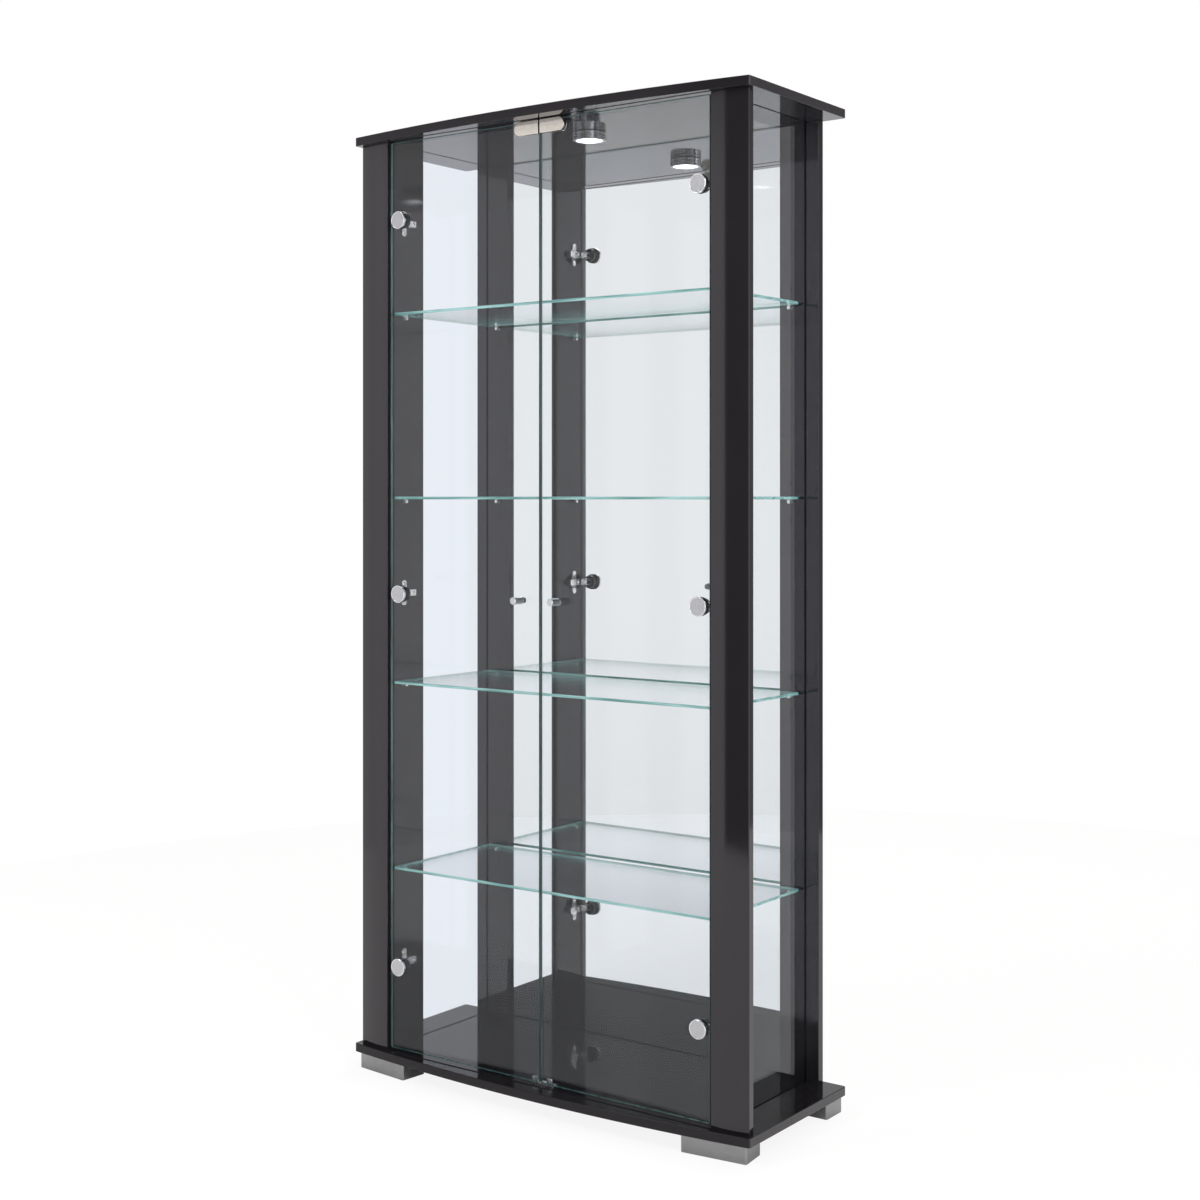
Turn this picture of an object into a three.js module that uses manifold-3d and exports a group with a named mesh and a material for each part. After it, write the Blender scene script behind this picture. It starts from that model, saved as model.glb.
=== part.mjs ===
// Display cabinet with a bowed front and two frameless glass doors.
// Millimetres, +Z up, front towards -Y. The origin is on the ground, under the
// middle of the cabinet's overall box. "Left" and "right" are as seen from the front.
// Plan positions below are given from the chord between the two front corners of
// the panels (y = 0 there, positive towards the back); one group moves them so that
// the overall box is centred on the origin.
import * as THREE from 'three';
import { mergeVertices } from 'three/addons/utils/BufferGeometryUtils.js';
import Module from 'manifold-3d';

const wasm = await Module();
wasm.setup();

// ---- driving dimensions -------------------------------------------------
const HEIGHT = 1760;        // ground to top of top panel
const PANEL_W = 873;        // width of the top and bottom panels
const PANEL_T = 16;         // all boards
const DEPTH_END = 324;      // depth of a panel at its ends
const BOW = 28;             // how far the front edge bows out at the middle
const FOOT_H = 30;          // feet
const FOOT_L = 120;
const FOOT_W = 54;
const POST_W = 70;          // front face boards
const POST_BULGE = 2.1;     // convex front face of a post
const POST_IN_X = 358.5;    // inner front arris of a post, from the middle
const POST_IN_Y = 5;
const POST_ANGLE = 6;       // degrees, follows the bow
const RETURN_IN = 357;      // inner face of a return board, from the middle
const RETURN_REAR = 105;    // rear edge of a return board
const SIDE_GLASS_X = 365;   // middle plane of a side pane
const SIDE_GLASS_T = 4;
const GROOVE_W = 4.6;
const GROOVE_D = 5;
const STILE_IN = 312.5;     // rear stiles, inner and outer edges, from the middle
const STILE_OUT = 391.5;
const STILE_FRONT = 306;
const MIRROR_FRONT = 316;
const MIRROR_T = 4;
const BACK_T = 2.8;
const REBATE = 7.5;         // rebate in a stile for the mirror
const SHELF_T = 5;
const SHELF_HALF_W = 355.5;
const SHELF_FRONT = 20;
const SHELF_REAR = 300;
const SHELF_TOPS = [340.5, 688.5, 1034.5, 1379.5]; // top faces, above the inner floor
const PIN_PITCH = 32;
const PIN_FRONT_Y = 48.5;   // front pin holes, in the return boards
const PIN_REAR_X = 335.5;   // rear pin holes, in the stiles
const DOOR_T = 5;
const DOOR_FRONT = 10;      // front face of the door glass
const DOOR_OUT = 354;       // hinge edge of a door, from the middle
const DOOR_GAP = 2.5;       // between the two doors
const DOOR_CLEAR_BOTTOM = 4;
const DOOR_CLEAR_TOP = 2.5;
const HINGE_HEIGHTS = [157, 853, 1550]; // above the inner floor
const PIVOT_X = 348.5;      // vertical axis of a door's hinges, from the middle
const PIVOT_Y = 12.5;
const CUP_X = 332.5;        // hinge cup centre, from the middle
const CAP_R = 16.3;
const CUP_HOLE_R = 13;
const KNOB_X = 41;
const KNOB_H = 851;         // above the inner floor
const LED_Y = 157;
const LED_R = 30;
const LED_H = 16;

const FLOOR_Z = FOOT_H + PANEL_T;
const CEIL_Z = HEIGHT - PANEL_T;
const SHIFT_Y = -(DEPTH_END - BOW) / 2;
const EPS = 0.3;            // gap left between pieces that touch

// ---- materials ------------------------------------------------------------
const mat = (color, roughness, metalness, extra = {}) =>
  new THREE.MeshStandardMaterial({ color, roughness, metalness, ...extra });
const M = {
  lacquer: () => mat(0x1b191a, 0.12, 0.0),
  glass: () => mat(0xdcebe6, 0.03, 0.0, { transparent: true, opacity: 0.3 }),
  mirror: () => mat(0xe8ecee, 0.02, 1.0),
  backing: () => mat(0x2a2a2c, 0.7, 0.0),
  feet: () => mat(0x9a9a9a, 0.42, 0.6),
  nickel: () => mat(0xc9c6c0, 0.25, 1.0),
  chrome: () => mat(0xd9d9dc, 0.15, 1.0),
  lens: () => mat(0xffffff, 0.4, 0.0),
  rubber: () => mat(0x161616, 0.7, 0.0),
};

// ---- helpers ----------------------------------------------------------------
function clean(geometry) {
  const g = geometry.clone();
  for (const name of Object.keys(g.attributes)) if (name !== 'position') g.deleteAttribute(name);
  g.clearGroups();
  const merged = mergeVertices(g, 1e-4);
  const p = merged.attributes.position;
  const idx = merged.index.array;
  const tris = [];
  let volume = 0;
  const a = new THREE.Vector3(), b = new THREE.Vector3(), c = new THREE.Vector3();
  for (let i = 0; i < idx.length; i += 3) {
    const [i0, i1, i2] = [idx[i], idx[i + 1], idx[i + 2]];
    if (i0 === i1 || i1 === i2 || i0 === i2) continue;
    a.fromBufferAttribute(p, i0); b.fromBufferAttribute(p, i1); c.fromBufferAttribute(p, i2);
    volume += a.dot(b.clone().cross(c)) / 6;
    tris.push(i0, i1, i2);
  }
  if (volume < 0) for (let i = 0; i < tris.length; i += 3) [tris[i + 1], tris[i + 2]] = [tris[i + 2], tris[i + 1]];
  const out = new THREE.BufferGeometry();
  out.setAttribute('position', new THREE.BufferAttribute(new Float32Array(p.array), 3));
  out.setIndex(tris);
  return out;
}

function toSolid(geometry) {
  const g = clean(geometry);
  return new wasm.Manifold(new wasm.Mesh({
    numProp: 3,
    vertProperties: new Float32Array(g.attributes.position.array),
    triVerts: new Uint32Array(g.index.array),
  }));
}

function fromSolid(solid) {
  const m = solid.getMesh();
  const g = new THREE.BufferGeometry();
  const n = m.numProp;
  const count = m.vertProperties.length / n;
  const pos = new Float32Array(count * 3);
  for (let i = 0; i < count; i++) for (let k = 0; k < 3; k++) pos[3 * i + k] = m.vertProperties[n * i + k];
  g.setAttribute('position', new THREE.BufferAttribute(pos, 3));
  g.setIndex(Array.from(m.triVerts));
  return g;
}

const union = (...geoms) => geoms.map(toSolid).reduce((s, t) => s.add(t));
const minus = (geometry, ...cuts) =>
  fromSolid(cuts.map(toSolid).reduce((s, t) => s.subtract(t), geometry instanceof THREE.BufferGeometry ? toSolid(geometry) : geometry));
const joined = (...geoms) => fromSolid(union(...geoms));

// axis-aligned block from its limits
function block(x0, x1, y0, y1, z0, z1) {
  const g = new THREE.BoxGeometry(x1 - x0, y1 - y0, z1 - z0);
  g.translate((x0 + x1) / 2, (y0 + y1) / 2, (z0 + z1) / 2);
  return g;
}

// closed outline in plan, extruded upwards
function planPrism(points, z0, z1) {
  const s = new THREE.Shape(points.map(([x, y]) => new THREE.Vector2(x, y)));
  const g = new THREE.ExtrudeGeometry(s, { depth: z1 - z0, bevelEnabled: false });
  g.translate(0, 0, z0);
  return g;
}

// closed outline in the x-z plane with optional round holes, extruded along y
function facePrism(points, y0, y1, holes = [], segments = 24) {
  const s = new THREE.Shape(points.map(([x, z]) => new THREE.Vector2(x, z)));
  for (const [cx, cz, r] of holes) {
    const pts = [];
    for (let i = 0; i < segments; i++) {
      const t = -2 * Math.PI * i / segments;
      pts.push(new THREE.Vector2(cx + r * Math.cos(t), cz + r * Math.sin(t)));
    }
    s.holes.push(new THREE.Path(pts));
  }
  const g = new THREE.ExtrudeGeometry(s, { depth: y1 - y0, bevelEnabled: false });
  g.rotateX(Math.PI / 2);
  g.translate(0, y1, 0);
  return g;
}

// rectangle outline with rounded corners (r may be one number or four, from low-low anticlockwise)
function roundedRect(x0, x1, y0, y1, r, n = 3) {
  const rr = Array.isArray(r) ? r : [r, r, r, r];
  const corners = [[x0, y0, 180], [x1, y0, 270], [x1, y1, 0], [x0, y1, 90]];
  const pts = [];
  corners.forEach(([cx, cy, start], k) => {
    const q = rr[k];
    if (q <= 0) { pts.push([cx, cy]); return; }
    const ox = cx + (cx === x0 ? q : -q);
    const oy = cy + (cy === y0 ? q : -q);
    for (let i = 0; i <= n; i++) {
      const t = THREE.MathUtils.degToRad(start + 90 * i / n);
      pts.push([ox + q * Math.cos(t), oy + q * Math.sin(t)]);
    }
  });
  return pts;
}

// body of revolution about a line along +y through (x, z); profile is [radius, y] pairs
function turnedY(profile, x, z, segments = 24) {
  const g = new THREE.LatheGeometry(profile.map(([r, y]) => new THREE.Vector2(r, y)), segments);
  g.translate(x, 0, z);
  return g;
}
// the same about a line along +z through (x, y); profile is [radius, z] pairs
function turnedZ(profile, x, y, segments = 24) {
  const g = new THREE.LatheGeometry(profile.map(([r, h]) => new THREE.Vector2(r, h)), segments);
  g.rotateX(Math.PI / 2);
  g.translate(x, y, 0);
  return g;
}
// the same about a line along +x through (y, z); profile is [radius, x] pairs
function turnedX(profile, y, z, segments = 12) {
  const g = new THREE.LatheGeometry(profile.map(([r, h]) => new THREE.Vector2(r, h)), segments);
  g.rotateZ(-Math.PI / 2);
  g.translate(0, y, z);
  return g;
}
const rod = (r, a, b) => [[0, a], [r, a], [r, b], [0, b]];

// mirror a left-hand piece to the right-hand side
function mirrored(geometry) {
  const g = clean(geometry);
  const p = g.attributes.position;
  for (let i = 0; i < p.count; i++) p.setX(i, -p.getX(i));
  return clean(g);
}

const cabinet = new THREE.Group();
cabinet.position.y = SHIFT_Y;
function add(name, geometry, material) {
  const g = clean(geometry);
  g.computeVertexNormals();
  const mesh = new THREE.Mesh(g, material);
  mesh.name = name;
  cabinet.add(mesh);
}
// a left piece and its mirror image
function pair(stem, geometry, makeMaterial) {
  add(stem + '_left', geometry, makeMaterial());
  add(stem + '_right', mirrored(geometry), makeMaterial());
}

// ---- top and bottom panels ---------------------------------------------------
const half = PANEL_W / 2;
const bowRadius = (half * half + BOW * BOW) / (2 * BOW);
const bowY = (x) => (bowRadius - BOW) - Math.sqrt(bowRadius * bowRadius - x * x);
function panelOutline() {
  const pts = [];
  const c = 5;              // small round at each corner
  const n = 24;
  for (let i = 0; i <= n; i++) {
    const x = -(half - c) + (2 * (half - c)) * i / n;
    pts.push([x, bowY(x)]);
  }
  const arc = (ox, oy, a0, a1) => {
    for (let i = 1; i <= 3; i++) {
      const t = THREE.MathUtils.degToRad(a0 + (a1 - a0) * i / 3);
      pts.push([ox + c * Math.cos(t), oy + c * Math.sin(t)]);
    }
  };
  arc(half - c, bowY(half - c) + c, 270, 360);
  arc(half - c, DEPTH_END - c, 0, 90);
  pts.push([-(half - c), DEPTH_END]);
  const arcL = (ox, oy, a0, a1, m) => {
    for (let i = 1; i <= m; i++) {
      const t = THREE.MathUtils.degToRad(a0 + (a1 - a0) * i / 3);
      pts.push([ox + c * Math.cos(t), oy + c * Math.sin(t)]);
    }
  };
  arcL(-(half - c), DEPTH_END - c, 90, 180, 3);
  pts.push([-half, bowY(half - c) + c]);
  arcL(-(half - c), bowY(half - c) + c, 180, 270, 2);
  return pts;
}
const grooveY0 = RETURN_REAR - GROOVE_D;
const grooveY1 = STILE_FRONT + GROOVE_D;
const grooveBlock = (side, z0, z1) => block(
  side * SIDE_GLASS_X - GROOVE_W / 2, side * SIDE_GLASS_X + GROOVE_W / 2, grooveY0, grooveY1, z0, z1);

add('bottom_panel', minus(
  planPrism(panelOutline(), FOOT_H, FLOOR_Z),
  grooveBlock(-1, FLOOR_Z - GROOVE_D, FLOOR_Z + 1),
  grooveBlock(1, FLOOR_Z - GROOVE_D, FLOOR_Z + 1)), M.lacquer());

// the light's lead leaves through a hole in the top panel, above the light
const LEAD_HOLE_R = 6;
add('top_panel', minus(
  planPrism(panelOutline(), CEIL_Z, HEIGHT),
  grooveBlock(-1, CEIL_Z - 1, CEIL_Z + GROOVE_D),
  grooveBlock(1, CEIL_Z - 1, CEIL_Z + GROOVE_D),
  turnedZ(rod(LEAD_HOLE_R, CEIL_Z - 1, HEIGHT + 1), 0, LED_Y, 16)), M.lacquer());
add('lead_grommet', turnedZ([
  [3, CEIL_Z + 2], [LEAD_HOLE_R - EPS, CEIL_Z + 2], [LEAD_HOLE_R - EPS, HEIGHT - 0.2], [3, HEIGHT - 0.2], [3, CEIL_Z + 2]], 0, LED_Y, 16), M.rubber());

// ---- feet ------------------------------------------------------------------------
function foot(cx, cy, angle) {
  const g = planPrism(roundedRect(-FOOT_L / 2, FOOT_L / 2, -FOOT_W / 2, FOOT_W / 2, 2, 2), 0, FOOT_H - 0.2);
  g.rotateZ(THREE.MathUtils.degToRad(angle));
  g.translate(cx, cy, 0);
  return g;
}
{
  const t = THREE.MathUtils.degToRad(POST_ANGLE);
  const cornerX = -427, cornerY = 5.4; // outer front corner of the front left foot
  const cx = cornerX + (FOOT_L / 2) * Math.cos(t) + (FOOT_W / 2) * Math.sin(t);
  const cy = cornerY - (FOOT_L / 2) * Math.sin(t) + (FOOT_W / 2) * Math.cos(t);
  pair('foot_front', foot(cx, cy, -POST_ANGLE), M.feet);
  pair('foot_rear', foot(-429 + FOOT_L / 2, 322 - FOOT_W / 2, 0), M.feet);
}

// ---- front posts ------------------------------------------------------------------
{
  const t = THREE.MathUtils.degToRad(POST_ANGLE);
  const along = [Math.cos(t), -Math.sin(t)];   // from the outer end to the inner end
  const back = [Math.sin(t), Math.cos(t)];
  const origin = [-POST_IN_X - POST_W * along[0], POST_IN_Y - POST_W * along[1]];
  const at = (s, d) => [origin[0] + s * along[0] + d * back[0], origin[1] + s * along[1] + d * back[1]];
  const pts = [];
  const n = 10, e = 1.2;
  pts.push(at(0, e));
  for (let i = 0; i <= n; i++) {
    const s = e + (POST_W - 2 * e) * i / n;
    const k = (2 * s / POST_W - 1);
    pts.push(at(s, -POST_BULGE * (1 - k * k)));
  }
  pts.push(at(POST_W, e), at(POST_W, PANEL_T), at(0, PANEL_T));
  pair('post', planPrism(pts, FLOOR_Z + 0.2, CEIL_Z - 0.2), M.lacquer);
}

// ---- returns: carry the hinges and the front shelf pins --------------------------
const pinHeights = SHELF_TOPS.map((h) => FLOOR_Z + h - SHELF_T - 4.2);
{
  const x0 = -RETURN_IN - PANEL_T, x1 = -RETURN_IN;
  const slope = Math.tan(THREE.MathUtils.degToRad(POST_ANGLE));
  const yAtInner = 20.92 + EPS + 0.05;
  const body = planPrism([[x1, yAtInner], [x1, RETURN_REAR], [x0, RETURN_REAR], [x0, yAtInner + slope * PANEL_T]],
    FLOOR_Z + 0.2, CEIL_Z - 0.2);
  const cuts = [block(-SIDE_GLASS_X - GROOVE_W / 2, -SIDE_GLASS_X + GROOVE_W / 2,
    RETURN_REAR - GROOVE_D, RETURN_REAR + 1, FLOOR_Z - 1, CEIL_Z + 1)];
  for (const z of pinHeights) for (const k of [-1, 0, 1]) {
    cuts.push(turnedX(rod(2.6, -RETURN_IN - 9, -RETURN_IN + 1), PIN_FRONT_Y, z + k * PIN_PITCH, 8));
  }
  pair('return', minus(body, ...cuts), M.lacquer);
}

// ---- rear stiles -----------------------------------------------------------------
{
  const body = planPrism([
    [-STILE_OUT, STILE_FRONT], [-STILE_IN, STILE_FRONT], [-STILE_IN, MIRROR_FRONT - EPS],
    [-STILE_IN - REBATE, MIRROR_FRONT - EPS], [-STILE_IN - REBATE, STILE_FRONT + PANEL_T],
    [-STILE_OUT, STILE_FRONT + PANEL_T]], FLOOR_Z + 0.2, CEIL_Z - 0.2);
  const cuts = [block(-SIDE_GLASS_X - GROOVE_W / 2, -SIDE_GLASS_X + GROOVE_W / 2,
    STILE_FRONT - 1, STILE_FRONT + GROOVE_D, FLOOR_Z - 1, CEIL_Z + 1)];
  for (const z of pinHeights) for (const k of [-1, 0, 1]) {
    cuts.push(turnedY(rod(2.6, STILE_FRONT - 1, STILE_FRONT + 8), -PIN_REAR_X, z + k * PIN_PITCH, 8));
  }
  pair('stile', minus(body, ...cuts), M.lacquer);
}

// ---- fixed glass, mirror and back ------------------------------------------------
pair('side_glass', block(
  -SIDE_GLASS_X - SIDE_GLASS_T / 2, -SIDE_GLASS_X + SIDE_GLASS_T / 2,
  RETURN_REAR - GROOVE_D + 1, STILE_FRONT + GROOVE_D - 1,
  FLOOR_Z - GROOVE_D + 1, CEIL_Z + GROOVE_D - 1), M.glass);
const mirrorHalf = STILE_IN + REBATE - EPS;
add('mirror', block(-mirrorHalf, mirrorHalf, MIRROR_FRONT, MIRROR_FRONT + MIRROR_T,
  FLOOR_Z + EPS, CEIL_Z - EPS), M.mirror());
add('back_panel', block(-mirrorHalf, mirrorHalf, MIRROR_FRONT + MIRROR_T + EPS,
  MIRROR_FRONT + MIRROR_T + EPS + BACK_T, FLOOR_Z + EPS, CEIL_Z - EPS), M.backing());

// ---- shelves and their pins ---------------------------------------------------------
function pinAlongY(z) {   // rear pin: spigot in the stile, sleeve and pad in front of it
  const y = STILE_FRONT;
  return joined(
    turnedY([[0, y - 9.5], [2.9, y - 9.5], [3.4, y - 9], [3.4, y - EPS], [2.2, y - EPS], [2.2, y + 7], [0, y + 7]],
      -PIN_REAR_X, z, 8),
    block(-PIN_REAR_X - 2.2, -PIN_REAR_X + 2.2, y - 9, y - 3, z + 1.5, z + 3.9));
}
function pinAlongX(z) {   // front pin: spigot in the return
  const x = -RETURN_IN;
  return joined(
    turnedX([[0, x + 9.5], [2.9, x + 9.5], [3.4, x + 9], [3.4, x + EPS], [2.2, x + EPS], [2.2, x - 7], [0, x - 7]],
      PIN_FRONT_Y, z, 8),
    block(x + 3, x + 9, PIN_FRONT_Y - 2.2, PIN_FRONT_Y + 2.2, z + 1.5, z + 3.9));
}
SHELF_TOPS.forEach((h, i) => {
  const top = FLOOR_Z + h;
  add('shelf_' + (i + 1), planPrism(
    roundedRect(-SHELF_HALF_W, SHELF_HALF_W, SHELF_FRONT, SHELF_REAR, 2, 2), top - SHELF_T, top), M.glass());
  pair('shelf_pin_' + (i + 1) + '_front', pinAlongX(pinHeights[i]), M.nickel);
  pair('shelf_pin_' + (i + 1) + '_rear', pinAlongY(pinHeights[i]), M.nickel);
});

// ---- doors --------------------------------------------------------------------------
const doorZ0 = FLOOR_Z + DOOR_CLEAR_BOTTOM;
const doorZ1 = CEIL_Z - DOOR_CLEAR_TOP;
const doorBack = DOOR_FRONT + DOOR_T;
{
  const holes = HINGE_HEIGHTS.map((h) => [-CUP_X, FLOOR_Z + h, CUP_HOLE_R]);
  holes.push([-KNOB_X, FLOOR_Z + KNOB_H, 3.2]);
  pair('door_glass', facePrism(
    roundedRect(-DOOR_OUT, -DOOR_GAP / 2, doorZ0, doorZ1, 4, 3), DOOR_FRONT, doorBack, holes, 18), M.glass);
}

// knobs: a short bar, its screw through the glass and a washer behind
pair('knob', turnedY([
  [0, DOOR_FRONT - 25.3], [5.9, DOOR_FRONT - 25.3], [6.5, DOOR_FRONT - 24.7], [6.5, DOOR_FRONT - 1.2],
  [6.0, DOOR_FRONT - 0.4], [2.6, DOOR_FRONT - 0.4], [2.6, doorBack + 0.4], [5.5, doorBack + 0.4],
  [5.5, doorBack + 1.6], [3.4, doorBack + 1.6], [3.0, doorBack + 3.2], [0, doorBack + 3.2]],
  -KNOB_X, FLOOR_Z + KNOB_H, 14), M.chrome);

// ---- hinges -----------------------------------------------------------------------
// The cup is clamped through the glass, a round cap in front. Two side plates carry on
// from the cup past the arm's tongue, so the joint stays closed when the door is open.
const px = (x) => -PIVOT_X + x;
const py = (y) => PIVOT_Y + y;
function hingeCup(z) {
  const shell = turnedY([
    [0, DOOR_FRONT - 5], [15, DOOR_FRONT - 5], [CAP_R, DOOR_FRONT - 3.8], [CAP_R, DOOR_FRONT - EPS],
    [CUP_HOLE_R - 0.4, DOOR_FRONT - EPS], [CUP_HOLE_R - 0.4, doorBack + EPS],
    [16, doorBack + EPS], [16, doorBack + 2.3], [13.5, doorBack + 2.3], [13.5, doorBack + 12],
    [11, doorBack + 12], [11, doorBack + 3], [0, doorBack + 3]], -CUP_X, z, 18);
  const notch = block(-CUP_X - 20, -CUP_X, doorBack + 3, doorBack + 13, z - 7.4, z + 7.4);
  const opened = minus(shell, notch);
  const plate = [];
  plate.push([px(14), py(4.6)], [px(14), py(8.6)]);
  const n = 5;
  for (let i = 0; i <= n; i++) {
    const t = THREE.MathUtils.degToRad(44 + (114 - 44) * i / n);
    plate.push([px(13.4 * Math.cos(t)), py(13.4 * Math.sin(t))]);
  }
  for (let i = n; i >= 0; i--) {
    const t = THREE.MathUtils.degToRad(44 + (114 - 44) * i / n);
    plate.push([px(9 * Math.cos(t)), py(9 * Math.sin(t))]);
  }
  plate.push([px(6.9), py(4.6)]);
  return joined(opened, planPrism(plate, z + 4.7, z + 6.3), planPrism(plate, z - 6.3, z - 4.7));
}
function hingeArm(z) {
  const face = -RETURN_IN + EPS;
  const wing = toSolid((() => {
    const g = new THREE.ExtrudeGeometry(
      new THREE.Shape(roundedRect(py(30), py(42), -24, 24, 5.5, 3).map(([y, w]) => new THREE.Vector2(y, w))),
      { depth: 2.3, bevelEnabled: false });
    // outline (y, z) extruded along +x
    g.applyMatrix4(new THREE.Matrix4().set(0, 0, 1, face, 1, 0, 0, 0, 0, 1, 0, z, 0, 0, 0, 1));
    return g;
  })());
  const rail = toSolid(block(face, px(-1.5), py(24), py(56), z - 6.5, z + 6.5));
  const arm = toSolid(planPrism([[px(-2), py(60)], [px(3), py(60)], [px(3), py(23)], [px(8.5), py(17.5)],
    [px(5.5), py(15.2)], [px(-2), py(21.7)]].reverse(), z - 6, z + 6));
  const tongue = toSolid(planPrism([[px(8.5), py(17.5)], [px(10.5), py(14.5)], [px(10.5), py(6.6)],
    [px(6.4), py(6.6)], [px(6.4), py(12.6)], [px(4.6), py(16.2)], [px(3.2), py(20)]].reverse(), z - 4, z + 4));
  let s = wing.add(rail).add(arm).add(tongue);
  for (const dz of [-16, 16]) {
    s = s.add(toSolid(turnedX([[0, face + 1], [4, face + 1], [4, face + 2.9], [2.6, face + 3.9], [0, face + 3.9]],
      py(36), z + dz, 8)));
  }
  for (const dy of [34, 52]) {
    s = s.add(toSolid(turnedX([[0, px(2)], [3.2, px(2)], [3.2, px(3.8)], [0, px(3.8)]], py(dy), z, 8)));
  }
  return fromSolid(s);
}
['bottom', 'middle', 'top'].forEach((word, i) => {
  const z = FLOOR_Z + HINGE_HEIGHTS[i];
  pair('hinge_cup_' + word, hingeCup(z), M.chrome);
  pair('hinge_arm_' + word, hingeArm(z), M.nickel);
});

// ---- strikes on the doors' top inner corners, catch, stop -----------------------------
{
  const z1 = doorZ1 + 1.5, z0 = z1 - 24.5;
  const x0 = -55, x1 = -DOOR_GAP / 2 - 0.4;
  const outline = roundedRect(x0, x1, z0, z1, [11.5, 1, 1, 11.5], 5);
  const front = facePrism(outline, DOOR_FRONT - 4, DOOR_FRONT - EPS);
  const rear = facePrism(outline, doorBack + EPS, doorBack + 2.2);
  const web = block(x0 + 14, x1 - 1, DOOR_FRONT - 3, doorBack + 2, doorZ1 + EPS, z1);
  pair('strike', joined(front, rear, web), M.nickel);
}
add('catch_body', joined(
  block(-24, 24, 18.4, 33, CEIL_Z - 13, CEIL_Z - 2.2),
  block(-34, 34, 20, 31.5, CEIL_Z - 2.4, CEIL_Z - 0.2),
  block(-20, -6, 17.7, 19, CEIL_Z - 11.5, CEIL_Z - 4),
  block(6, 20, 17.7, 19, CEIL_Z - 11.5, CEIL_Z - 4)), M.nickel());
{
  const y0 = doorBack + 1;
  const tab = (x) => facePrism(roundedRect(x - 6, x + 6, FLOOR_Z + 1, FLOOR_Z + 12.5, [0.5, 0.5, 3, 3], 3), y0, y0 + 2.4);
  add('door_stop', joined(
    block(-24, 24, y0, y0 + 14, FLOOR_Z + 0.2, FLOOR_Z + 2),
    tab(-16), tab(16),
    turnedZ([[0, FLOOR_Z + 1], [3.6, FLOOR_Z + 1], [3.6, FLOOR_Z + 2.8], [2.2, FLOOR_Z + 3.8], [0, FLOOR_Z + 3.8]],
      0, y0 + 8, 12)), M.nickel());
}

// ---- light under the top panel ---------------------------------------------------------
add('led_housing', turnedZ([
  [0, CEIL_Z - 0.2], [LED_R - 0.6, CEIL_Z - 0.2], [LED_R, CEIL_Z - 1], [LED_R, CEIL_Z - LED_H + 1],
  [LED_R - 1, CEIL_Z - LED_H], [25.5, CEIL_Z - LED_H], [25, CEIL_Z - LED_H + 1], [25, CEIL_Z - 6], [0, CEIL_Z - 6]],
  0, LED_Y, 24), M.chrome());
add('led_lens', turnedZ([
  [0, CEIL_Z - LED_H + 1], [24.6, CEIL_Z - LED_H + 1], [24.6, CEIL_Z - LED_H + 4], [0, CEIL_Z - LED_H + 4]],
  0, LED_Y, 24), M.lens());

export default cabinet;
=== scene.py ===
from math import atan2, cos, degrees, pi, radians, sin, sqrt, tan

import bmesh
import bpy
from mathutils import Matrix, Vector


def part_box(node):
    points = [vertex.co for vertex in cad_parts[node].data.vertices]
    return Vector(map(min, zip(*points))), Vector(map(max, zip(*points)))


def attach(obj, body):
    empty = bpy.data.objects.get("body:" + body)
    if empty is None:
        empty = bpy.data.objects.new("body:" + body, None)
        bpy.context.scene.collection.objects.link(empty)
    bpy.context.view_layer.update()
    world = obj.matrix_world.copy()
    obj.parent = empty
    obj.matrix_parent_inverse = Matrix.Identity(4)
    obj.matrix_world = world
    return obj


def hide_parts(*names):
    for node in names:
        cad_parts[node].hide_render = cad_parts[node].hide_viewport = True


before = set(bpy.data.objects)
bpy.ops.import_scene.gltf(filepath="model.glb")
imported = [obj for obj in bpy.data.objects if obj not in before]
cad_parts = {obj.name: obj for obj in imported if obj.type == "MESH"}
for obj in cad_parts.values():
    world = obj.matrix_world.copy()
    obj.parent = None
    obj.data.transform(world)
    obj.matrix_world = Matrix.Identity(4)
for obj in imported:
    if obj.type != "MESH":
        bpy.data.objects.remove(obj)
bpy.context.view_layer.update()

MM = 0.001
scene = bpy.context.scene


def limits(node):
    """A CAD node's limits in millimetres: x0, x1, y0, y1, z0, z1."""
    low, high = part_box(node)
    return low[0] / MM, high[0] / MM, low[1] / MM, high[1] / MM, low[2] / MM, high[2] / MM


# ---------------------------------------------------------------- places, from the CAD boxes
PANEL_X1 = limits("top_panel")[1]
PANEL_Y0, PANEL_Y1 = limits("top_panel")[2:4]
TOP_Z0, TOP_Z1 = limits("top_panel")[4:6]
LOW_Z0, LOW_Z1 = limits("bottom_panel")[4:6]
FLOOR_Z, CEIL_Z = LOW_Z1, TOP_Z0
BOW = 28.0
CHORD = PANEL_Y0 + BOW            # y of the chord between the panels' front corners
POST_IN_X, POST_IN_Y, POST_W, POST_ANGLE, POST_BULGE, BOARD = 358.5, CHORD + 5.0, 70.0, 6.0, 2.1, 16.0
RETURN_X1 = limits("return_left")[1]      # inner face of the left return
RETURN_X0 = limits("return_left")[0]
RETURN_Y1 = limits("return_left")[3]
SIDE_X = (limits("side_glass_left")[0] + limits("side_glass_left")[1]) / 2
GROOVE_W, GROOVE_D = 4.6, 5.0
STILE_X0, STILE_X1, STILE_Y0, STILE_Y1 = limits("stile_left")[0:4]
MIRROR_Y0 = limits("mirror")[2]
PIN_PITCH, PIN_FRONT_Y, PIN_REAR_X = 32.0, CHORD + 48.5, 335.5
PIN_Z = [sum(limits(f"shelf_pin_{i}_front_left")[4:6]) / 2 for i in (1, 2, 3, 4)]
DOOR = limits("door_glass_left")
KNOB = limits("knob_left")
KNOB_X, KNOB_Z = (KNOB[0] + KNOB[1]) / 2, (KNOB[4] + KNOB[5]) / 2
PIVOT_X, PIVOT_Y = -348.5, CHORD + 12.5
CUP_X, CAP_R = -332.5, 16.3
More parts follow.
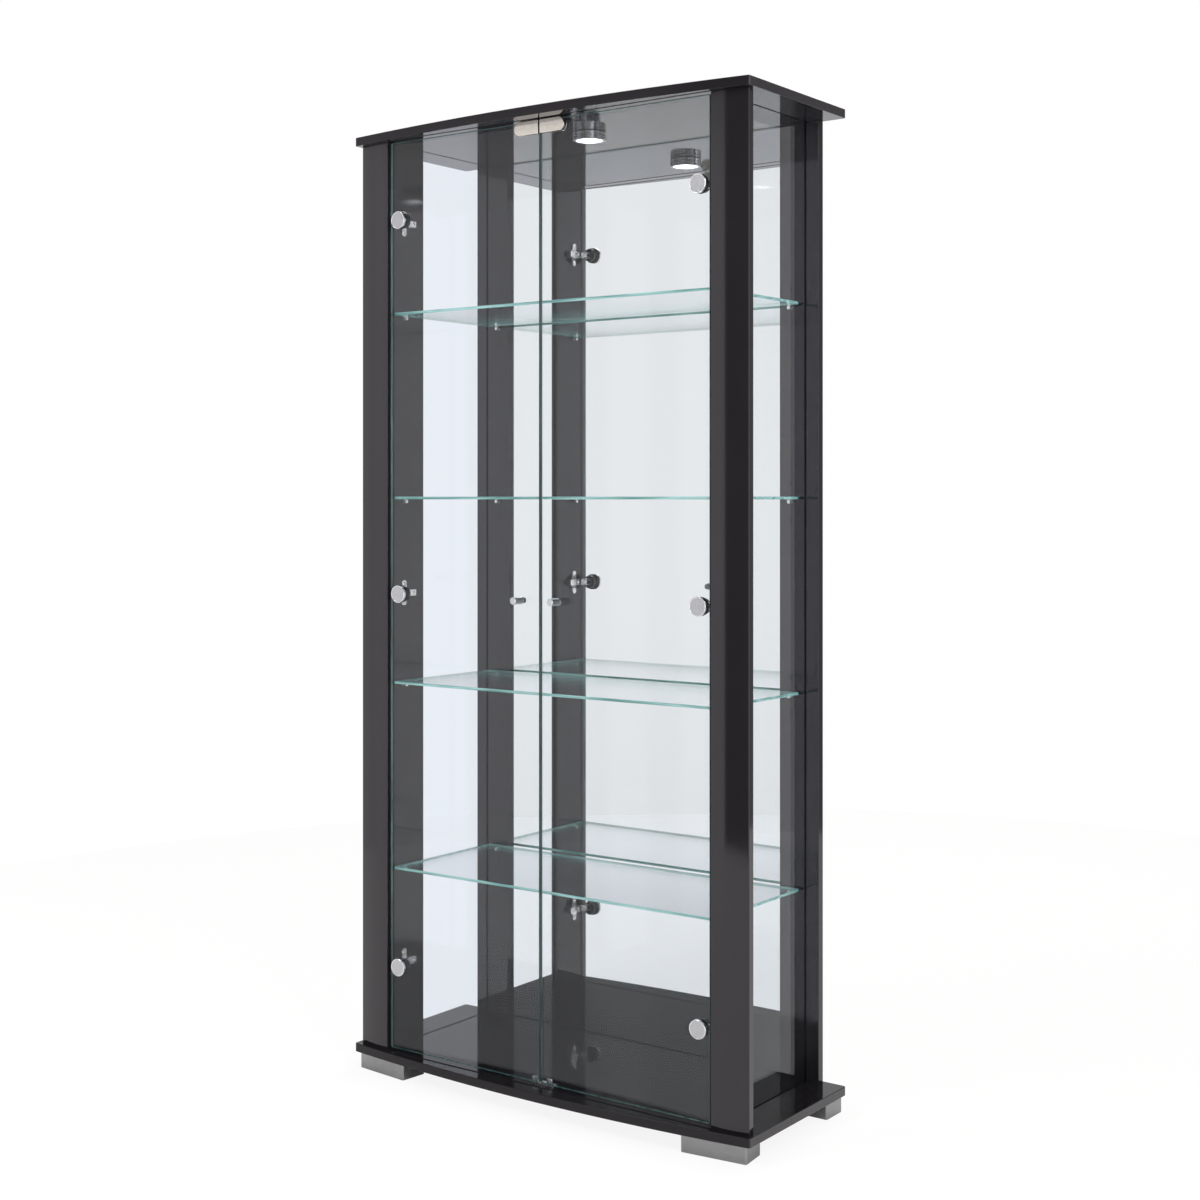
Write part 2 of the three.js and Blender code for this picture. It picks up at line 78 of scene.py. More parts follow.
HINGE_Z = {w: sum(limits(f"hinge_cup_{w}_left")[4:6]) / 2 for w in ("bottom", "middle", "top")}
LED = limits("led_housing")
LED_X, LED_Y, LED_R = (LED[0] + LED[1]) / 2, (LED[2] + LED[3]) / 2, (LED[1] - LED[0]) / 2
GLASS_F, GLASS_B = DOOR[2], DOOR[3]       # front and rear faces of the door glass


# ---------------------------------------------------------------- shapes
class Shape:
    """Faces of one piece, in millimetres."""

    def __init__(self):
        self.v, self.f, self.m = [], [], []

    def add(self, verts, faces, mats=0):
        base = len(self.v)
        self.v += [tuple(p) for p in verts]
        self.f += [tuple(base + i for i in f) for f in faces]
        self.m += [mats] * len(faces) if isinstance(mats, int) else list(mats)
        return self

    def join(self, *others):
        for o in others:
            self.add(o.v, o.f, o.m)
        return self

    def through(self, change):
        s = Shape()
        s.v, s.f, s.m = [tuple(change(Vector(p))) for p in self.v], list(self.f), list(self.m)
        return s

    def moved(self, x=0.0, y=0.0, z=0.0):
        return self.through(lambda p: p + Vector((x, y, z)))

    def flipped(self):
        """The mirror image, left to right."""
        return self.through(lambda p: Vector((-p.x, p.y, p.z)))

    def turned(self, matrix):
        return self.through(lambda p: matrix @ p)

    def painted(self, index):
        s = self.through(lambda p: p)
        s.m = [index] * len(s.m)
        return s


def area(loop):
    return sum(a[0] * b[1] - b[0] * a[1] for a, b in zip(loop, loop[1:] + loop[:1])) / 2


def fillet(loop, r, n=4, closed=True):
    """Rounds the corners of an outline. r is one radius, or one for each corner."""
    out, count = [], len(loop)
    for i, p in enumerate(loop):
        q = r[i] if isinstance(r, (list, tuple)) else r
        if not closed and i in (0, count - 1):
            out.append(tuple(p))
            continue
        p = Vector(p)
        a, b = Vector(loop[i - 1]) - p, Vector(loop[(i + 1) % count]) - p
        la, lb = a.length, b.length
        a.normalize(), b.normalize()
        turn = a.angle(b)
        if q <= 0 or turn > pi - 0.02:
            out.append(tuple(p))
            continue
        t = min(q / tan(turn / 2), 0.49 * la, 0.49 * lb)
        c = p + (a + b).normalized() * (t * tan(turn / 2) / sin(turn / 2))
        s, e = p + a * t - c, p + b * t - c
        a0 = atan2(s.y, s.x)
        sweep = (atan2(e.y, e.x) - a0 + pi) % (2 * pi) - pi
        out += [(c.x + s.length * cos(a0 + sweep * k / n), c.y + s.length * sin(a0 + sweep * k / n)) for k in range(n + 1)]
    return out


def inset(loop, d):
    out = []
    for i, p in enumerate(loop):
        p = Vector(p)
        a = (p - Vector(loop[i - 1])).normalized()
        b = (Vector(loop[(i + 1) % len(loop)]) - p).normalized()
        na, nb = Vector((-a.y, a.x)), Vector((-b.y, b.x))
        out.append(p + (na + nb) * (d / max(0.2, 1 + na.dot(nb))))
    return [tuple(q) for q in out]


PLACE = {
    "z": lambda u, v, w: (u, v, w),
    "y": lambda u, v, w: (u, w, v),
    "x": lambda u, v, w: (w, u, v),
}


def prism(loop, w0, w1, r=0.6, n=3, axis="z", mats=(0, 0, 0), r0=None, r1=None):
    """A board or plate: an outline run from w0 to w1, its arrises rounded to radius r. mats are for the low face, the edge and the high face."""
    if area(loop) < 0:
        loop = loop[::-1]
    ra, rb = (r if r0 is None else r0), (r if r1 is None else r1)
    profile = [(ra * (1 - sin(pi / 2 * i / n)), w0 + ra * (1 - cos(pi / 2 * i / n))) for i in range(n + 1)] if ra > 0 else [(0, w0)]
    profile += [(rb * (1 - cos(pi / 2 * i / n)), w1 - rb * (1 - sin(pi / 2 * i / n))) for i in range(n + 1)] if rb > 0 else [(0, w1)]
    put, count, s = PLACE[axis], len(loop), Shape()
    verts = [put(u, v, w) for d, w in profile for u, v in (inset(loop, d) if d else loop)]
    faces, mat = [tuple(range(count))], [mats[0]]
    for k in range(len(profile) - 1):
        for i in range(count):
            j = (i + 1) % count
            faces.append((k * count + i, k * count + j, (k + 1) * count + j, (k + 1) * count + i))
            mat.append(mats[1])
    faces.append(tuple(range((len(profile) - 1) * count, len(profile) * count)))
    mat.append(mats[2])
    return s.add(verts, faces, mat)


def turned(profile, centre, axis="y", n=48, mats=0):
    """A turned piece. profile is (radius, height) pairs that end on the axis, or close on themselves; centre is the other two coordinates."""
    ring = abs(profile[0][0] - profile[-1][0]) < 1e-6 and abs(profile[0][1] - profile[-1][1]) < 1e-6
    pts = profile[:-1] if ring else profile
    verts, index = [], []
    for r, h in pts:
        row = []
        for k in range(1 if r < 1e-6 else n):
            t = 2 * pi * k / n
            a, b = centre[0] + r * cos(t), centre[1] + r * sin(t)
            row.append(len(verts))
            verts.append({"y": (a, h, b), "z": (a, b, h), "x": (h, a, b)}[axis])
        index.append(row)
    faces, mat = [], []
    pairs = list(zip(range(len(pts)), range(1, len(pts)))) + ([(len(pts) - 1, 0)] if ring else [])
    for s, (i, j) in enumerate(pairs):
        a, b = index[i], index[j]
        if len(a) == 1 and len(b) == 1:
            continue
        for k in range(n):
            l = (k + 1) % n
            if len(a) == 1:
                faces.append((a[0], b[k], b[l]))
            elif len(b) == 1:
                faces.append((a[k], a[l], b[0]))
            else:
                faces.append((a[k], a[l], b[l], b[k]))
            mat.append(mats if isinstance(mats, int) else mats[min(s, len(mats) - 1)])
    return Shape().add(verts, faces, mat)


def rounded(profile, r, n=3):
    """A turned piece's profile with its corners rounded."""
    ring = profile[0] == profile[-1]
    return (lambda out: out + out[:1])(fillet(profile[:-1], r, n)) if ring else fillet(profile, r, n, closed=False)


def slab(x0, x1, y0, y1, z0, z1, r=0.5, corner=1.0, n=3, axis="z", mats=(0, 0, 0)):
    """A block with rounded corners and arrises."""
    u0, u1, v0, v1, w0, w1 = {"z": (x0, x1, y0, y1, z0, z1), "y": (x0, x1, z0, z1, y0, y1), "x": (y0, y1, z0, z1, x0, x1)}[axis]
    loop = [(u0, v0), (u1, v0), (u1, v1), (u0, v1)]
    return prism(fillet(loop, corner, 4) if corner else loop, w0, w1, r, n, axis, mats)


def box_cut(x0, x1, y0, y1, z0, z1, index=0):
    return prism([(x0, y0), (x1, y0), (x1, y1), (x0, y1)], z0, z1, 0, mats=(index,) * 3)


# ---------------------------------------------------------------- objects
def mesh_of(name, shape, materials):
    me = bpy.data.meshes.new(name)
    me.from_pydata([(x * MM, y * MM, z * MM) for x, y, z in shape.v], [], shape.f)
    for m in materials:
        me.materials.append(m)
    me.polygons.foreach_set("material_index", shape.m)
    bm = bmesh.new()
    bm.from_mesh(me)
    bmesh.ops.remove_doubles(bm, verts=bm.verts, dist=1e-7)
    bmesh.ops.dissolve_degenerate(bm, edges=bm.edges, dist=1e-7)
    bmesh.ops.recalc_face_normals(bm, faces=bm.faces)
    bm.to_mesh(me)
    bm.free()
    return me


def as_object(name, shape, materials):
    ob = bpy.data.objects.new(name, mesh_of(name, shape, materials))
    scene.collection.objects.link(ob)
    return ob


def cut(ob, *shapes):
    """Takes closed shapes out of an object."""
    materials = list(ob.data.materials)
    for shape in shapes:
        tool = as_object("cutter", shape, materials)
        mod = ob.modifiers.new("cut", "BOOLEAN")
        mod.operation, mod.solver, mod.object = "DIFFERENCE", "EXACT", tool
        graph = bpy.context.evaluated_depsgraph_get()
        made = bpy.data.meshes.new_from_object(ob.evaluated_get(graph))
        ob.modifiers.clear()
        ob.data = made
        bpy.data.objects.remove(tool)
    return ob


def shape_of(ob, scale=1 / MM):
    """The faces of an object as a Shape, and the object is removed."""
    s = Shape()
    s.add([tuple(v.co * scale) for v in ob.data.vertices], [tuple(p.vertices) for p in ob.data.polygons],
          [p.material_index for p in ob.data.polygons])
    bpy.data.objects.remove(ob)
    return s


def finish(ob, node, body, smooth=36.0):
    me = ob.data
    me.name = ob.name
    me.polygons.foreach_set("use_smooth", [True] * len(me.polygons))
    me.set_sharp_from_angle(angle=radians(smooth))
    weighted = ob.modifiers.new("normals", "WEIGHTED_NORMAL")
    weighted.keep_sharp, weighted.weight = True, 50
    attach(ob, body)
    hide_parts(node)
    return ob


def piece(node, shape, materials, body="carcass", cuts=(), smooth=36.0):
    ob = as_object(node + ".look", shape, materials)
    if cuts:
        cut(ob, *cuts)
    return finish(ob, node, body, smooth)


# ---------------------------------------------------------------- materials
class Nodes:
    """A short hand for building a material's nodes."""

    def __init__(self, name, group=None):
        if group is None:
            self.material = bpy.data.materials.new(name)
            self.material.use_nodes = True
            self.tree = self.material.node_tree
        else:
            self.material, self.tree = None, group
        self.tree.nodes.clear()

    def new(self, kind, **settings):
        n = self.tree.nodes.new(kind)
        for key, value in settings.items():
            setattr(n, key, value)
        return n

    def link(self, a, b):
        self.tree.links.new(a, b)

    def put(self, socket, value):
        if isinstance(value, bpy.types.NodeSocket):
            self.link(value, socket)
        else:
            socket.default_value = value

    def coords(self, stretch=(1, 1, 1), turn=(0, 0, 0)):
        m = self.new("ShaderNodeMapping")
        m.inputs["Scale"].default_value = stretch
        m.inputs["Rotation"].default_value = turn
        self.link(self.new("ShaderNodeTexCoord").outputs["Object"], m.inputs["Vector"])
        return m.outputs["Vector"]

    def noise(self, scale, detail=2.0, rough=0.5, vector=None, distortion=0.0):
        n = self.new("ShaderNodeTexNoise")
        n.inputs["Scale"].default_value = scale
        n.inputs["Detail"].default_value = detail
        n.inputs["Roughness"].default_value = rough
        n.inputs["Distortion"].default_value = distortion
        self.link(vector if vector is not None else self.coords(), n.inputs["Vector"])
        return n.outputs["Fac"]

    def range(self, value, a, b, c, d, smooth=False):
        m = self.new("ShaderNodeMapRange", interpolation_type="SMOOTHSTEP" if smooth else "LINEAR")
        for socket, v in zip(m.inputs[:5], (value, a, b, c, d)):
            self.put(socket, v)
        return m.outputs["Result"]

    def math(self, operation, a, b=0.0, c=0.0, clamp=False):
        m = self.new("ShaderNodeMath", operation=operation, use_clamp=clamp)
        for socket, v in zip(m.inputs, (a, b, c)):
            self.put(socket, v)
        return m.outputs[0]

    def mix(self, fac, a, b):
        m = self.new("ShaderNodeMix", data_type="RGBA")
        self.put(m.inputs[0], fac)
        for socket, v in ((m.inputs[6], a), (m.inputs[7], b)):
            self.put(socket, (*v, 1.0) if isinstance(v, tuple) and len(v) == 3 else v)
        return m.outputs[2]

    def bump(self, height, strength, distance, normal=None):
        b = self.new("ShaderNodeBump")
        b.inputs["Strength"].default_value = strength
        b.inputs["Distance"].default_value = distance
        self.link(height, b.inputs["Height"])
        if normal is not None:
            self.link(normal, b.inputs["Normal"])
        return b.outputs["Normal"]

    def surface(self, **values):
        p = self.new("ShaderNodeBsdfPrincipled")
        for key, value in values.items():
            socket = p.inputs[key.replace("_", " ")]
            self.put(socket, (*value, 1.0) if isinstance(value, tuple) and len(value) == 3 and socket.type == "RGBA" else value)
        return p.outputs[0]

    def done(self, shader):
        self.link(shader, self.new("ShaderNodeOutputMaterial").inputs["Surface"])
        return self.material


def lacquer(name, rough, tone=1.0, peel=1.0, level=0.5):
    """Black high-gloss foil on board: nearly black, with a slight orange peel and long waves in its reflections."""
    n = Nodes(name)
    cloud = n.noise(7.0, 3.0, 0.55)
    colour = n.mix(cloud, (0.0110 * tone, 0.0098 * tone, 0.0112 * tone), (0.0160 * tone, 0.0145 * tone, 0.0165 * tone))
    grain = n.noise(60.0, 4.0, 0.6)
    roughness = n.math("ADD", n.range(grain, 0.3, 0.7, rough * 0.85, rough * 1.15), 0.0)
    wave = n.bump(n.noise(26.0, 1.0, 0.4), 0.35 * peel, 0.00010)
    orange = n.bump(n.noise(330.0, 2.0, 0.5), 0.30 * peel, 0.000012, wave)
    return n.done(n.surface(Base_Color=colour, Roughness=roughness, Normal=orange, IOR=1.5, Specular_IOR_Level=level,
                            Specular_Tint=(1.0, 0.965, 1.0)))


def pane(name, tint, shine=(0.98, 0.99, 1.0), least=0.020):
    """Clear float glass seen through its faces: what lies behind shows unbent, and each face mirrors by its angle."""
    n = Nodes(name)
    facing = n.new("ShaderNodeLayerWeight")
    facing.inputs["Blend"].default_value = 0.5
    share = n.math("MULTIPLY_ADD", n.math("POWER", facing.outputs["Facing"], 5.0), 0.957, least)
    clear, mirror, mix = n.new("ShaderNodeBsdfTransparent"), n.new("ShaderNodeBsdfGlossy"), n.new("ShaderNodeMixShader")
    streak = n.noise(2.2, 2.0, 0.5)
    n.link(n.mix(streak, tuple(0.996 * c for c in tint), tint), clear.inputs["Color"])
    mirror.inputs["Roughness"].default_value = 0.0
    mirror.inputs["Color"].default_value = (*shine, 1.0)
    n.link(share, mix.inputs[0])
    n.link(clear.outputs[0], mix.inputs[1])
    n.link(mirror.outputs[0], mix.inputs[2])
    return n.done(mix.outputs[0])


def pane_edge(name, deep, pale, along="x", painted_glow=0.10):
    """The ground and polished edge of a pane: sea green, with long light and dark streaks painted along it as
    highlights and shade. A non-zero emission makes the edge shine with painted light.
    """
    n = Nodes(name)
    stretch = {"x": (9.0, 120.0, 260.0), "z": (260.0, 120.0, 9.0)}[along]
    streak = n.noise(1.0, 3.0, 0.6, n.coords(stretch))
    fine = n.noise(900.0, 2.0, 0.5)
    colour = n.mix(n.range(streak, 0.32, 0.68, 0.0, 1.0, smooth=True), deep, pale)
    return n.done(n.surface(Base_Color=colour, Roughness=n.range(fine, 0.3, 0.7, 0.10, 0.22), IOR=1.5,
                            Specular_IOR_Level=0.6, Emission_Color=colour, Emission_Strength=painted_glow,
                            Normal=n.bump(fine, 0.2, 0.00002)))


def silvered():
    """Mirror glass: silver seen through 4 mm of glass, a touch green, a little darker right at its borders."""
    n = Nodes("mirror_face")
    split = n.new("ShaderNodeSeparateXYZ")
    n.link(n.coords(), split.inputs[0])
    x0, x1, _, _, z0, z1 = [v * MM for v in limits("mirror")]
    near_x = n.math("SUBTRACT", (x1 - x0) / 2, n.math("ABSOLUTE", split.outputs[0]))
    near_z = n.math("SUBTRACT", (z1 - z0) / 2, n.math("ABSOLUTE", n.math("SUBTRACT", split.outputs[2], (z0 + z1) / 2)))
    near = n.math("MINIMUM", near_x, near_z)
    border = n.range(near, 0.0, 0.004, 0.0, 1.0, smooth=True)
    cloud = n.noise(3.0, 2.0, 0.5)
    body = n.mix(cloud, (0.838, 0.846, 0.836), (0.852, 0.860, 0.850))
    return n.done(n.surface(Base_Color=n.mix(border, (0.45, 0.52, 0.50), body), Metallic=1.0, Roughness=0.0))


def metal(name, colour, rough, brush=None, turned_axis=None, peel=0.0, spread=0.25):
    """Plated or brushed metal. brush is the stretch of the brushing marks."""
    n = Nodes(name)
    if brush is not None:
        marks = n.noise(1.0, 4.0, 0.65, n.coords(brush))
    else:
        marks = n.noise(240.0, 3.0, 0.6)
    cloud = n.noise(45.0, 3.0, 0.6)
    dark = tuple(c * 0.90 for c in colour)
    base = n.mix(n.range(cloud, 0.3, 0.7, 0.0, 1.0), dark, colour)
    roughness = n.range(marks, 0.3, 0.7, rough * (1 - spread), rough * (1 + spread))
    normal = n.bump(marks, 0.25, 0.00002 if brush is not None else 0.000006)
    if peel:
        normal = n.bump(n.noise(150.0, 2.0, 0.5), peel, 0.00012, normal)
    return n.done(n.surface(Base_Color=base, Metallic=1.0, Roughness=roughness, Normal=normal))


def plastic(name, colour, rough, bump=0.15):
    n = Nodes(name)
    grain = n.noise(1400.0, 2.0, 0.5)
    cloud = n.noise(60.0, 3.0, 0.55)
    base = n.mix(cloud, tuple(c * 0.85 for c in colour), tuple(c * 1.1 for c in colour))
    return n.done(n.surface(Base_Color=base, Roughness=n.range(grain, 0.3, 0.7, rough * 0.85, rough * 1.15),
                            Normal=n.bump(grain, bump, 0.00002), IOR=1.48))


def board():
    """Thin hardboard back with a dark printed foil: fine pressed fibres."""
    n = Nodes("back_board")
    fibre = n.noise(1.0, 5.0, 0.7, n.coords((90.0, 90.0, 420.0), (0.0, 0.35, 0.0)))
    fleck = n.noise(520.0, 3.0, 0.7)
    base = n.mix(n.range(fibre, 0.3, 0.7, 0.0, 1.0), (0.014, 0.013, 0.014), (0.040, 0.038, 0.037))
    base = n.mix(n.range(fleck, 0.54, 0.70, 0.0, 0.6), base, (0.075, 0.070, 0.064))
    return n.done(n.surface(Base_Color=base, Roughness=n.range(fibre, 0.3, 0.7, 0.46, 0.62),
                            Normal=n.bump(fleck, 0.3, 0.00008)))


def glowing():
    """The light's frosted lens, brightest over its diodes."""
    n = Nodes("light_lens_glow")
    split = n.new("ShaderNodeSeparateXYZ")
    n.link(n.coords(), split.inputs[0])
    dx = n.math("SUBTRACT", split.outputs[0], LED_X * MM)
    dy = n.math("SUBTRACT", split.outputs[1], LED_Y * MM)
    r = n.math("SQRT", n.math("ADD", n.math("MULTIPLY", dx, dx), n.math("MULTIPLY", dy, dy)))
    spread = n.range(r, 0.004, 0.024, 1.0, 0.35, smooth=True)
    frost = n.noise(900.0, 2.0, 0.5)
    colour = n.mix(spread, (0.80, 0.88, 1.0), (1.0, 1.0, 1.0))
    p = n.surface(Base_Color=(0.9, 0.92, 0.95), Roughness=n.range(frost, 0.3, 0.7, 0.35, 0.5),
                  Emission_Color=colour, Emission_Strength=n.math("MULTIPLY", spread, 9.0), Normal=n.bump(frost, 0.2, 0.00003))
    return n.done(p)


# One black lacquer in four copies. The panels' faces reflect more than the plain lacquer and their long edges far less,
# painted light and painted shade; the end strips are lighter in tone and rougher.
GLOSS = lacquer("black_gloss", 0.075)
GLOSS_PANEL = lacquer("black_gloss_panel", 0.065, level=0.62)
GLOSS_EDGE_SHADED = lacquer("black_gloss_edge_shaded", 0.11, tone=1.1, peel=1.6, level=0.20)
GLOSS_END = lacquer("black_gloss_end", 0.24, tone=1.5, peel=1.6, level=0.50)
DOOR_PANE = pane("door_glass", (0.955, 0.966, 0.982))
SHELF_PANE = pane("shelf_glass", (0.955, 0.968, 0.980), (0.985, 0.99, 1.0), 0.040)
SIDE_PANE = pane("side_glass", (0.950, 0.963, 0.982))
# One sea-green glass edge painted at four brightnesses: a lit copy that also shines with painted light for the shelves'
# edges, painted shade for the doors' edges and their meeting edge, and near-black painted shade for edges in grooves
# and rebates.
EDGE_LONG_LIT = pane_edge("glass_edge_long_painted_lit", (0.060, 0.230, 0.205), (0.36, 0.62, 0.57), "x")
EDGE_DOOR_SHADED = pane_edge("glass_edge_upright_painted_shade", (0.012, 0.045, 0.041), (0.075, 0.165, 0.150), "z", 0.0)
EDGE_MEET_SHADED = pane_edge("glass_edge_meeting_painted_shade", (0.020, 0.034, 0.034), (0.070, 0.095, 0.095), "z", 0.0)
EDGE_IN_SHADE = pane_edge("glass_edge_painted_deep_shade", (0.003, 0.010, 0.009), (0.012, 0.030, 0.027), "z", 0.0)
SILVER = silvered()
BACK_PAINT = plastic("mirror_backing", (0.20, 0.21, 0.22), 0.6)
BOARD = board()
FEET = metal("satin_feet", (0.315, 0.315, 0.317), 0.40, brush=(14.0, 700.0, 700.0))
NICKEL = metal("warm_nickel", (0.74, 0.69, 0.625), 0.17, peel=0.30)
PLATE = metal("bright_nickel", (0.86, 0.855, 0.845), 0.24, peel=0.10)
CAP_RIM = metal("cap_rim", (0.80, 0.80, 0.81), 0.26)
SATIN = metal("satin_chrome", (0.49, 0.49, 0.505), 0.24, brush=(520.0, 60.0, 60.0))
SATIN_END = metal("satin_end", (0.58, 0.60, 0.62), 0.30)
KNOB_BODY = metal("knob_body", (0.36, 0.365, 0.375), 0.20, brush=(60.0, 520.0, 60.0))
CASE = metal("light_case", (0.42, 0.42, 0.43), 0.24, brush=(60.0, 60.0, 900.0))
CHROME = metal("chrome", (0.83, 0.83, 0.84), 0.08)
MAGNET = metal("magnet_face", (0.30, 0.29, 0.29), 0.35)
CUP = plastic("black_cup", (0.018, 0.018, 0.019), 0.34)
RUBBER = plastic("black_rubber", (0.022, 0.022, 0.022), 0.6, 0.3)
CLEAR_PAD = plastic("pin_pad", (0.62, 0.66, 0.66), 0.22, 0.1)
LENS = glowing()
# A dark metal for the screws' cross recesses: painted shade.
RECESS_SHADE = metal("recess", (0.22, 0.215, 0.21), 0.45)


# ---------------------------------------------------------------- top and bottom panels
HALF = PANEL_X1
BOW_R = (HALF * HALF + BOW * BOW) / (2 * BOW)


def bow_y(x):
    return CHORD + (BOW_R - BOW) - sqrt(BOW_R * BOW_R - x * x)


def panel_outline(c=5.0, n=96, m=6):
    pts = [(-(HALF - c) + 2 * (HALF - c) * i / n, bow_y(-(HALF - c) + 2 * (HALF - c) * i / n)) for i in range(n + 1)]

    def corner(ox, oy, a0, a1, skip_last=False):
        return [(ox + c * cos(radians(a0 + (a1 - a0) * i / m)), oy + c * sin(radians(a0 + (a1 - a0) * i / m)))
                for i in range(1, m + (0 if skip_last else 1))]

    y = bow_y(HALF - c)
    start = degrees(atan2((HALF - c) / BOW_R, 1))       # the bow meets the corner along its own slope
    pts += corner(HALF - c, y + c, 270 + start, 360)
    pts += corner(HALF - c, PANEL_Y1 - c, 0, 90)
    pts += [(-(HALF - c), PANEL_Y1)]
    pts += corner(-(HALF - c), PANEL_Y1 - c, 90, 180)
    pts += [(-HALF, y + c)]
    pts += corner(-(HALF - c), y + c, 180, 270 - start, True)
    return pts


def groove(side, z0, z1):
    return box_cut(side * abs(SIDE_X) - GROOVE_W / 2, side * abs(SIDE_X) + GROOVE_W / 2,
                   RETURN_Y1 - GROOVE_D, STILE_Y0 + GROOVE_D, z0, z1)


def board_of(z0, z1):
    """A panel. Its bowed front edge, its two ends and its rear edge carry separate strips of edging; the front and rear
    strips reflect far less than the lacquer, painted shade.
    """
    s = prism(outline, z0, z1, 1.1, 4, mats=(0, 1, 0))
    for i, f in enumerate(s.f):
        if s.m[i] == 1 and all(abs(s.v[k][0]) > HALF - 2.0 for k in f):
            s.m[i] = 2
    return s


outline = panel_outline()
piece("bottom_panel", board_of(LOW_Z0, LOW_Z1), [GLOSS_PANEL, GLOSS_EDGE_SHADED, GLOSS_END],
      cuts=(groove(-1, LOW_Z1 - GROOVE_D, LOW_Z1 + 3), groove(1, LOW_Z1 - GROOVE_D, LOW_Z1 + 3)))
LEAD_Y = sum(limits("lead_grommet")[2:4]) / 2
hole = turned([(0, TOP_Z0 - 3), (6, TOP_Z0 - 3), (6, TOP_Z1 + 3), (0, TOP_Z1 + 3)], (0, LEAD_Y), "z", 40)
piece("top_panel", board_of(TOP_Z0, TOP_Z1), [GLOSS_PANEL, GLOSS_EDGE_SHADED, GLOSS_END],
      cuts=(groove(-1, TOP_Z0 - 3, TOP_Z0 + GROOVE_D), groove(1, TOP_Z0 - 3, TOP_Z0 + GROOVE_D), hole))
g = limits("lead_grommet")
piece("lead_grommet", turned(rounded([(3.0, g[4]), (5.7, g[4]), (5.7, g[5]), (3.0, g[5]), (3.0, g[4])], 0.9, 4), (0, LEAD_Y), "z", 40),
      [RUBBER])


# ---------------------------------------------------------------- feet
def foot_shape():
    """One block foot about its own centre: a moulded shoe with rounded corners and arrises."""
    w, d, h = 120.0, 54.0, limits("foot_front_left")[5]
    loop = fillet([(-w / 2, -d / 2), (w / 2, -d / 2), (w / 2, d / 2), (-w / 2, d / 2)], 3.2, 6)
    return prism(loop, 0.0, h, 0.9, 3)


t = radians(POST_ANGLE)
FOOT_AT = (-427 + 60 * cos(t) + 27 * sin(t), CHORD + 5.4 - 60 * sin(t) + 27 * cos(t))
front_foot = foot_shape().turned(Matrix.Rotation(-t, 3, "Z")).moved(*FOOT_AT)
rear_foot = foot_shape().moved(-429 + 60, CHORD + 322 - 27)
for side in ("left", "right"):
    for stem, shape in (("foot_front", front_foot), ("foot_rear", rear_foot)):
        piece(f"{stem}_{side}", shape if side == "left" else shape.flipped(), [FEET])


# ---------------------------------------------------------------- posts, returns, stiles
along, back = (cos(t), -sin(t)), (sin(t), cos(t))
start = (-POST_IN_X - POST_W * along[0], POST_IN_Y - POST_W * along[1])


def at(s, d):
    return (start[0] + s * along[0] + d * back[0], start[1] + s * along[1] + d * back[1])


loop, radii = [], []
for i in range(41):                    # the convex front
    s = POST_W * i / 40
    k = 2 * s / POST_W - 1
    loop.append(at(s, -POST_BULGE * (1 - k * k)))
    radii.append(1.4 if i in (0, 40) else 0)
loop += [at(POST_W, 16.0), at(0, 16.0)]
radii += [0.8, 0.8]
post = prism([p for p in fillet(loop, radii, 5)], FLOOR_Z + 0.2, CEIL_Z - 0.2, 0.4, 2)

ry0 = CHORD + 21.27
slope = tan(t)
return_loop = [(RETURN_X1, ry0), (RETURN_X1, RETURN_Y1), (RETURN_X0, RETURN_Y1), (RETURN_X0, ry0 + slope * 16)]
return_board = prism(fillet(return_loop, [0.7, 0.9, 0.9, 0.7], 4), FLOOR_Z + 0.2, CEIL_Z - 0.2, 0.4, 2)
return_groove = box_cut(SIDE_X - GROOVE_W / 2, SIDE_X + GROOVE_W / 2, RETURN_Y1 - GROOVE_D, RETURN_Y1 + 3, FLOOR_Z - 2, CEIL_Z + 2)
return_holes = Shape()
stile_holes = Shape()
for z in PIN_Z:
    for k in (-1, 0, 1):
        # a drilled hole with a small lead-in
        r = [(0, -9), (2.6, -9), (2.6, -0.35), (3.0, 0), (3.0, 1.5), (0, 1.5)]
        return_holes.join(turned([(a, RETURN_X1 + h) for a, h in r], (PIN_FRONT_Y, z + k * PIN_PITCH), "x", 24))
        stile_holes.join(turned([(a, STILE_Y0 - h * 0.9) for a, h in r], (-PIN_REAR_X, z + k * PIN_PITCH), "y", 24))
stile_loop = [(STILE_X0, STILE_Y0), (STILE_X1, STILE_Y0), (STILE_X1, MIRROR_Y0 - 0.3), (STILE_X1 - 7.5, MIRROR_Y0 - 0.3),
              (STILE_X1 - 7.5, STILE_Y1), (STILE_X0, STILE_Y1)]
stile = prism(fillet(stile_loop, [0.9, 0.9, 0.5, 0.0, 0.5, 0.9], 4), FLOOR_Z + 0.2, CEIL_Z - 0.2, 0.35, 2)
stile_groove = box_cut(SIDE_X - GROOVE_W / 2, SIDE_X + GROOVE_W / 2, STILE_Y0 - 3, STILE_Y0 + GROOVE_D, FLOOR_Z - 2, CEIL_Z + 2)
for side in ("left", "right"):
    turn = (lambda s: s) if side == "left" else (lambda s: s.flipped())
    piece(f"post_{side}", turn(post), [GLOSS])
    piece(f"return_{side}", turn(return_board), [GLOSS], cuts=(turn(return_groove), turn(return_holes)))
    piece(f"stile_{side}", turn(stile), [GLOSS], cuts=(turn(stile_groove), turn(stile_holes)))


# ---------------------------------------------------------------- fixed glass, mirror, back, shelves
for side in ("left", "right"):
    x0, x1, y0, y1, z0, z1 = limits(f"side_glass_{side}")
    loop = fillet([(y0, z0), (y1, z0), (y1, z1), (y0, z1)], 1.5, 4)
    # Its edges take the near-black edge copy: painted shade.
    piece(f"side_glass_{side}", prism(loop, x0, x1, 0.4, 2, "x", (0, 1, 0)), [SIDE_PANE, EDGE_IN_SHADE])
x0, x1, y0, y1, z0, z1 = limits("mirror")
